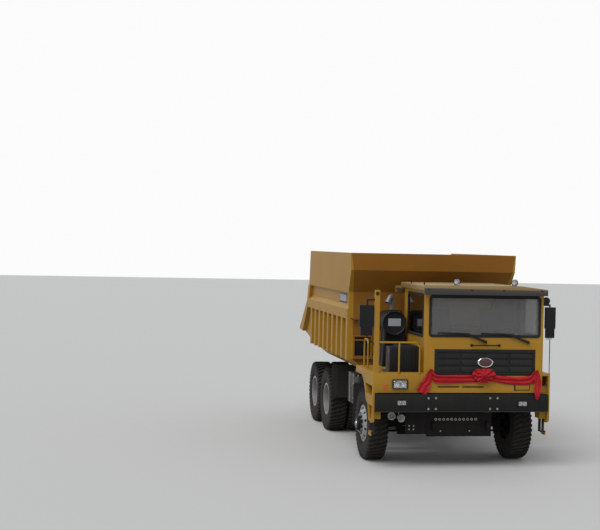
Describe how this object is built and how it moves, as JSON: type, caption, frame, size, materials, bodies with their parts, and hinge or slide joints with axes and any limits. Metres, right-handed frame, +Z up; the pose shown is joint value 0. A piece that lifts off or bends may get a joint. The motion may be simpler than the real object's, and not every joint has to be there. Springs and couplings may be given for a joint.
{
  "type": "mining dump truck",
  "caption": "Mining dump truck with an offset cab, side platform, ribbed tipping bed on telescopic hoists, steered front wheels, twin rear wheels, an opening door and a red sash.",
  "frame": {"origin": "on the ground under the middle of the truck's bounding box", "axes": "+X is the truck's left, -Y its front, +Z up"},
  "size_m": [3.83, 8.49, 3.98],
  "materials": {
    "yellow_paint": "semi-gloss",
    "chassis_paint": "satin",
    "dark_metal": "satin",
    "silver_paint": "satin",
    "tyre": "matt",
    "bright_steel": "brushed",
    "glass": "clear",
    "black_plastic": "matt",
    "lamp": "gloss",
    "seat_cloth": "woven",
    "red_cloth": "satin cloth"
  },
  "bodies": {
    "chassis": {"frame_rails": "chassis_paint", "cross_members": "chassis_paint", "bumper": "dark_metal", "axles": "chassis_paint", "drive_shafts": "dark_metal", "springs": "chassis_paint", "engine": "dark_metal", "tanks": "dark_metal", "cab_floor": "dark_metal", "cab_front": "yellow_paint", "cab_sides": "yellow_paint", "cab_back": "yellow_paint", "cab_roof": "yellow_paint", "cab_glass": "glass", "grille": "dark_metal", "dashboard": "black_plastic", "seats": "seat_cloth", "right_deck": "yellow_paint", "left_steps": "yellow_paint", "handrails": "yellow_paint", "mirrors": "black_plastic", "air_cleaner": "black_plastic", "side_box": "dark_metal", "exhaust": "bright_steel", "lamps": "lamp", "sash": "red_cloth"},
    "knuckle_left": {"knuckle_left": "chassis_paint"},
    "knuckle_right": {"knuckle_right": "chassis_paint"},
    "tie_rod": {"tie_rod": "chassis_paint"},
    "wheel_front_left": {"tyre_front_left": "tyre", "rim_front_left": "silver_paint"},
    "wheel_front_right": {"tyre_front_right": "tyre", "rim_front_right": "silver_paint"},
    "wheels_rear_1_left": {"tyres_rear_1_left": "tyre", "rims_rear_1_left": "silver_paint"},
    "wheels_rear_1_right": {"tyres_rear_1_right": "tyre", "rims_rear_1_right": "silver_paint"},
    "wheels_rear_2_left": {"tyres_rear_2_left": "tyre", "rims_rear_2_left": "silver_paint"},
    "wheels_rear_2_right": {"tyres_rear_2_right": "tyre", "rims_rear_2_right": "silver_paint"},
    "door": {"door": "yellow_paint", "door_glass": "glass"},
    "bed": {"bed_floor": "yellow_paint", "bed_front": "yellow_paint", "bed_sides": "yellow_paint"},
    "hoist_barrels": {"hoist_barrels": "dark_metal"},
    "hoist_tubes_1": {"hoist_tubes_1": "bright_steel"},
    "hoist_tubes_2": {"hoist_tubes_2": "bright_steel"},
    "hoist_tubes_3": {"hoist_tubes_3": "bright_steel"},
    "hoist_rods": {"hoist_rods": "bright_steel"}
  },
  "joints": [
    {"name": "steer_left", "type": "hinge", "parent": "chassis", "child": "knuckle_left", "pos_m": [1.15, -2.845, 0.69], "axis": [0, 0, 1], "range_deg": [-32, 32]},
    {"name": "steer_right", "type": "hinge", "parent": "chassis", "child": "knuckle_right", "pos_m": [-1.15, -2.845, 0.69], "axis": [0, 0, 1], "range_deg": [-32, 32]},
    {"name": "tie_rod_swing", "type": "hinge", "parent": "knuckle_left", "child": "tie_rod", "pos_m": [1.15, -2.595, 0.505], "axis": [0, 0, 1], "range_deg": [-32, 32]},
    {"name": "roll_front_left", "type": "hinge", "parent": "knuckle_left", "child": "wheel_front_left", "pos_m": [1.42, -2.845, 0.69], "axis": [1, 0, 0], "continuous": true},
    {"name": "roll_front_right", "type": "hinge", "parent": "knuckle_right", "child": "wheel_front_right", "pos_m": [-1.42, -2.845, 0.69], "axis": [1, 0, 0], "continuous": true},
    {"name": "roll_rear_1_left", "type": "hinge", "parent": "chassis", "child": "wheels_rear_1_left", "pos_m": [1.42, 1.045, 0.69], "axis": [1, 0, 0], "continuous": true},
    {"name": "roll_rear_1_right", "type": "hinge", "parent": "chassis", "child": "wheels_rear_1_right", "pos_m": [-1.42, 1.045, 0.69], "axis": [1, 0, 0], "continuous": true},
    {"name": "roll_rear_2_left", "type": "hinge", "parent": "chassis", "child": "wheels_rear_2_left", "pos_m": [1.42, 2.525, 0.69], "axis": [1, 0, 0], "continuous": true},
    {"name": "roll_rear_2_right", "type": "hinge", "parent": "chassis", "child": "wheels_rear_2_right", "pos_m": [-1.42, 2.525, 0.69], "axis": [1, 0, 0], "continuous": true},
    {"name": "door_swing", "type": "hinge", "parent": "chassis", "child": "door", "pos_m": [1.57, -3.97, 2.5], "axis": [0, 0, -1], "range_deg": [0, 75]},
    {"name": "bed_tip", "type": "hinge", "parent": "chassis", "child": "bed", "pos_m": [0, 3.105, 1.42], "axis": [-1, 0, 0], "range_deg": [0, 45]},
    {"name": "hoist_swing", "type": "hinge", "parent": "chassis", "child": "hoist_barrels", "pos_m": [0, 0.57793, 0.62], "axis": [-1, 0, 0], "range_deg": [0, 22.6]},
    {"name": "hoist_stage_1", "type": "slide", "parent": "hoist_barrels", "child": "hoist_tubes_1", "axis": [0, -0.1415, 0.9899], "range_m": [0, 0.4848]},
    {"name": "hoist_stage_2", "type": "slide", "parent": "hoist_tubes_1", "child": "hoist_tubes_2", "axis": [0, -0.1415, 0.9899], "range_m": [0, 0.4848]},
    {"name": "hoist_stage_3", "type": "slide", "parent": "hoist_tubes_2", "child": "hoist_tubes_3", "axis": [0, -0.1415, 0.9899], "range_m": [0, 0.4848]},
    {"name": "hoist_stage_4", "type": "slide", "parent": "hoist_tubes_3", "child": "hoist_rods", "axis": [0, -0.1415, 0.9899], "range_m": [0, 0.4848]}
  ],
  "couplings": [
    {"joint": "steer_right", "follows": "steer_left", "ratio": 1},
    {"joint": "tie_rod_swing", "follows": "steer_left", "ratio": -1},
    {"joint": "hoist_swing", "follows": "bed_tip", "ratio": 0.5},
    {"joint": "hoist_stage_1", "follows": "bed_tip", "m_per_rad": 0.61599},
    {"joint": "hoist_stage_2", "follows": "bed_tip", "m_per_rad": 0.61599},
    {"joint": "hoist_stage_3", "follows": "bed_tip", "m_per_rad": 0.61599},
    {"joint": "hoist_stage_4", "follows": "bed_tip", "m_per_rad": 0.61599}
  ]
}
